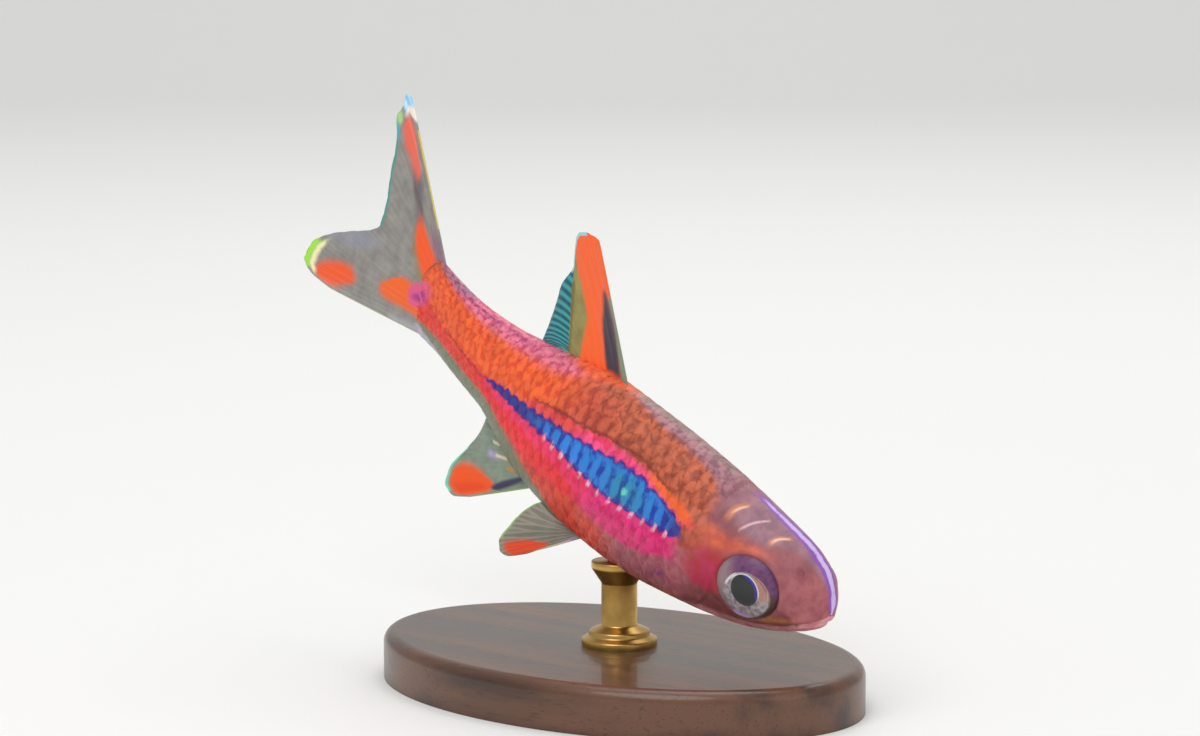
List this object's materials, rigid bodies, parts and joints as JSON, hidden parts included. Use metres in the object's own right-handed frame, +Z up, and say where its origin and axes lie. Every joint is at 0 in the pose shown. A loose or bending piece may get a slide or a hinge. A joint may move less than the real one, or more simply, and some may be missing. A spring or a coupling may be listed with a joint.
{
  "type": "chili rasbora display model",
  "caption": "Life-size still model of a chili rasbora, a tiny red freshwater fish, swimming nose down with its tail bent, held by a short rod on an oval base.",
  "frame": {"origin": "centre of the underside of the stand's base", "axes": "+Z up; +X the way the fish's head points, seen from above; +Y towards the fish's left side"},
  "size_m": [0.0204, 0.0092, 0.0144],
  "materials": {
    "head_skin": "mauve-brown skin, satin wet look",
    "body_skin": "red scaled skin with a blue side stripe, satin wet look",
    "fin_red": "translucent orange membrane",
    "fin_clear": "translucent grey-olive membrane with orange patches",
    "eye": "polished, silver iris round a dark pupil",
    "stand_wood": "dark stained, satin varnish",
    "stand_rod": "satin"
  },
  "bodies": {
    "root": {"head": "head_skin", "eye_right": "eye", "eye_left": "eye", "trunk": "body_skin", "tail_stalk": "body_skin", "dorsal_fin": "fin_red", "anal_fin": "fin_clear", "caudal_fin_upper": "fin_clear", "caudal_fin_lower": "fin_clear", "pelvic_fin_right": "fin_clear", "pelvic_fin_left": "fin_clear", "pectoral_fin_right": "fin_clear", "pectoral_fin_left": "fin_clear", "stand_base": "stand_wood", "stand_rod": "stand_rod"}
  },
  "joints": []
}
